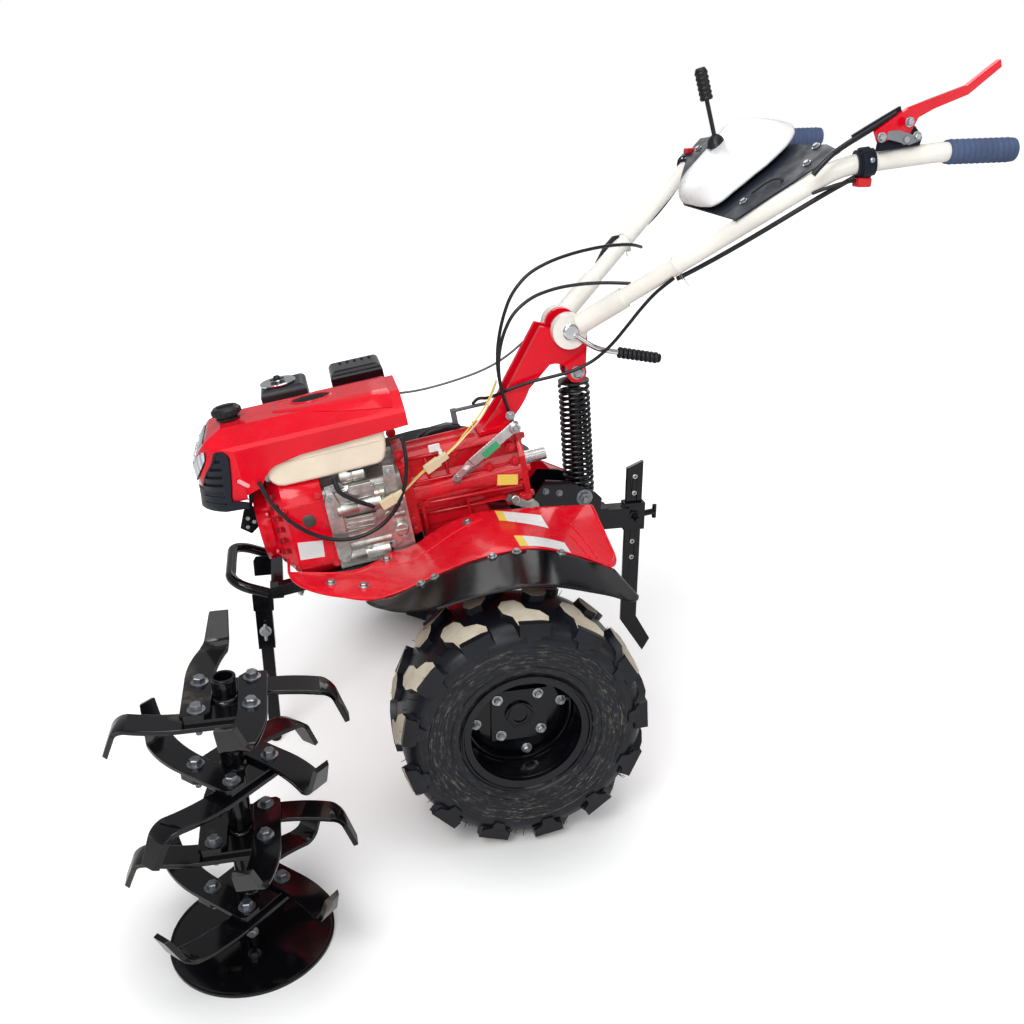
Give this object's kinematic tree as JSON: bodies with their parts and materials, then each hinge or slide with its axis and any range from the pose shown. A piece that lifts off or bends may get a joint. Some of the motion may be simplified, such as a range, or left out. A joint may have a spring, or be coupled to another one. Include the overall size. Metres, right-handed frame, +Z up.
{
  "type": "rotary tiller",
  "caption": "Walk-behind petrol rotary tiller on two tyred wheels, with tiltable handlebars, front stand, depth bar and a detached tine rotor standing beside it.",
  "frame": {"origin": "centre of the whole outline, rotor included, on the floor", "axes": "+X the way the machine drives, +Y its left side, +Z up"},
  "size_m": [1.591, 1.3596, 1.354],
  "materials": {
    "red_paint": "gloss",
    "black_paint": "gloss",
    "dark_grey_paint": "satin",
    "cream_paint": "gloss",
    "cast_alloy": "satin",
    "bare_steel": "satin",
    "tyre_rubber": "matte",
    "black_plastic": "matte",
    "white_plastic": "gloss",
    "lamp_plastic": "gloss",
    "cable_sheath": "matte",
    "grey_sheath": "matte",
    "foam": "matte",
    "switch_plastic": "matte"
  },
  "bodies": {
    "chassis": {"crankcase": "cast_alloy", "cylinder_head": "cast_alloy", "fan_cover": "red_paint", "hood": "red_paint", "headlight": "lamp_plastic", "grille": "black_plastic", "fuel_tank": "cream_paint", "fuel_cap": "black_plastic", "air_cleaner": "black_plastic", "muffler_guard": "black_paint", "gearbox_upper": "red_paint", "gearbox_lower": "red_paint", "pto_shaft": "bare_steel", "shift_linkage": "bare_steel", "engine_bed": "black_paint", "stand_sleeve": "black_paint", "front_bumper": "black_paint", "fender_left": "red_paint", "fender_right": "red_paint", "flare_left": "black_plastic", "flare_right": "black_plastic", "fender_struts": "black_paint", "handle_bracket": "red_paint", "coil_spring": "black_paint", "shock_absorber": "black_paint", "rear_hitch": "black_paint", "shift_cables": "cable_sheath", "cable_under_bar": "cable_sheath", "throttle_cable": "grey_sheath", "engine_lead": "cable_sheath"},
    "left_wheel": {"tyre_left": "tyre_rubber", "rim_left": "black_paint", "hub_left": "black_paint", "half_shaft_left": "bare_steel"},
    "right_wheel": {"tyre_right": "tyre_rubber", "rim_right": "black_paint", "hub_right": "black_paint", "half_shaft_right": "bare_steel"},
    "stand": {"stand_leg": "black_paint"},
    "depth_gauge": {"depth_bar": "black_paint"},
    "handlebar": {"handlebar_left": "cream_paint", "handlebar_right": "cream_paint", "grips": "foam", "clamp_lever": "bare_steel", "panel_bracket": "dark_grey_paint", "control_panel": "white_plastic", "shift_lever": "black_plastic", "clutch_bracket": "dark_grey_paint", "clutch_lever": "red_paint", "switches": "switch_plastic", "bar_harness": "cable_sheath"},
    "rotor": {"rotor_hub": "black_paint", "rotor_disc": "black_paint", "tines_1": "black_paint", "tines_2": "black_paint", "tines_3": "black_paint", "tines_4": "black_paint"}
  },
  "joints": [
    {"name": "wheel_left_spin", "type": "hinge", "parent": "chassis", "child": "left_wheel", "pos_m": [0.11685, 0.29115, 0.235], "axis": [0, 1, 0], "continuous": true},
    {"name": "wheel_right_spin", "type": "hinge", "parent": "chassis", "child": "right_wheel", "pos_m": [0.11685, -0.59085, 0.235], "axis": [0, 1, 0], "continuous": true},
    {"name": "stand_slide", "type": "slide", "parent": "chassis", "child": "stand", "axis": [0, 0, 1], "range_m": [0, 0.08]},
    {"name": "depth_bar_slide", "type": "slide", "parent": "chassis", "child": "depth_gauge", "axis": [0, 0, 1], "range_m": [-0.039, 0.117]},
    {"name": "handlebar_tilt", "type": "hinge", "parent": "chassis", "child": "handlebar", "pos_m": [-0.07715, -0.14985, 0.856], "axis": [0, 1, 0], "range_deg": [-12, 18], "deforming": ["shift_cables", "cable_under_bar", "throttle_cable"]},
    {"name": "rotor_lift", "type": "slide", "parent": "chassis", "child": "rotor", "axis": [0, 0, 1], "range_m": [0, 0.3]}
  ]
}
